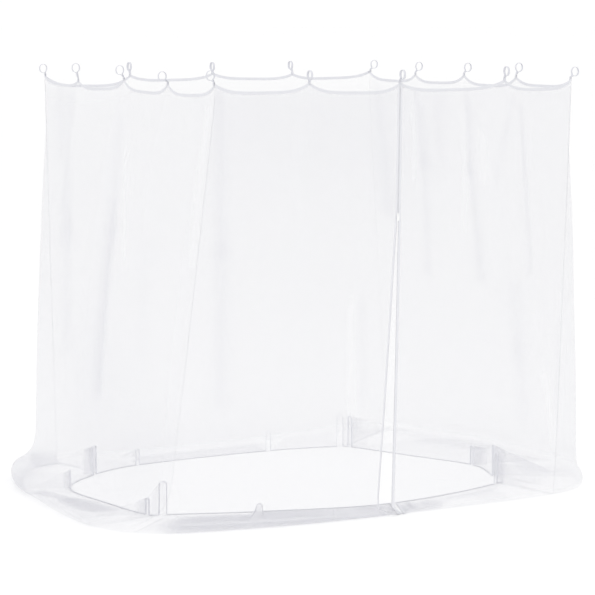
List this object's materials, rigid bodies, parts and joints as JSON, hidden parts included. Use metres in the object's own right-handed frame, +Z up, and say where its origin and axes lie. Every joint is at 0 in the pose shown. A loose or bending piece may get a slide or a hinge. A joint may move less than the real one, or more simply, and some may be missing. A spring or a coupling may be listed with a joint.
{
  "type": "gazebo mosquito net",
  "caption": "Open-topped square box of fine netting that hangs by tape loops, with a zipped front and a lower edge turned in over the floor, to keep insects out of a gazebo.",
  "frame": {"origin": "centre of the square top edge, at the height of the feet of the hanging loops", "axes": "+Z up, -Y out through the zipped front wall, +X towards the right-hand wall seen from the front"},
  "size_m": [3.3, 2.578, 2.3764],
  "materials": {
    "netting": "sheer white polyester netting",
    "binding_tape": "woven pale grey polyester tape",
    "zip_tape": "woven pale grey zip tape",
    "white_plastic": "white moulded plastic"
  },
  "bodies": {
    "root": {"wall_front_left": "netting", "wall_front_right": "netting", "wall_right": "netting", "wall_back": "netting", "wall_left": "netting", "zip_tape_left": "zip_tape", "zip_tape_right": "zip_tape", "top_tape_front": "binding_tape", "top_tape_right": "binding_tape", "top_tape_back": "binding_tape", "top_tape_left": "binding_tape", "hem_tape_front_left": "binding_tape", "hem_tape_front_right": "binding_tape", "hem_tape_right": "binding_tape", "hem_tape_back": "binding_tape", "hem_tape_left": "binding_tape", "loop_corner_near": "binding_tape", "loop_front_1": "binding_tape", "loop_front_2": "binding_tape", "loop_front_3": "binding_tape", "loop_corner_right": "binding_tape", "loop_right_1": "binding_tape", "loop_right_2": "binding_tape", "loop_right_3": "binding_tape", "loop_corner_far": "binding_tape", "loop_back_1": "binding_tape", "loop_back_2": "binding_tape", "loop_back_3": "binding_tape", "loop_corner_left": "binding_tape", "loop_left_1": "binding_tape", "loop_left_2": "binding_tape", "loop_left_3": "binding_tape", "zip_slider": "white_plastic", "zip_pull": "white_plastic"}
  },
  "joints": []
}
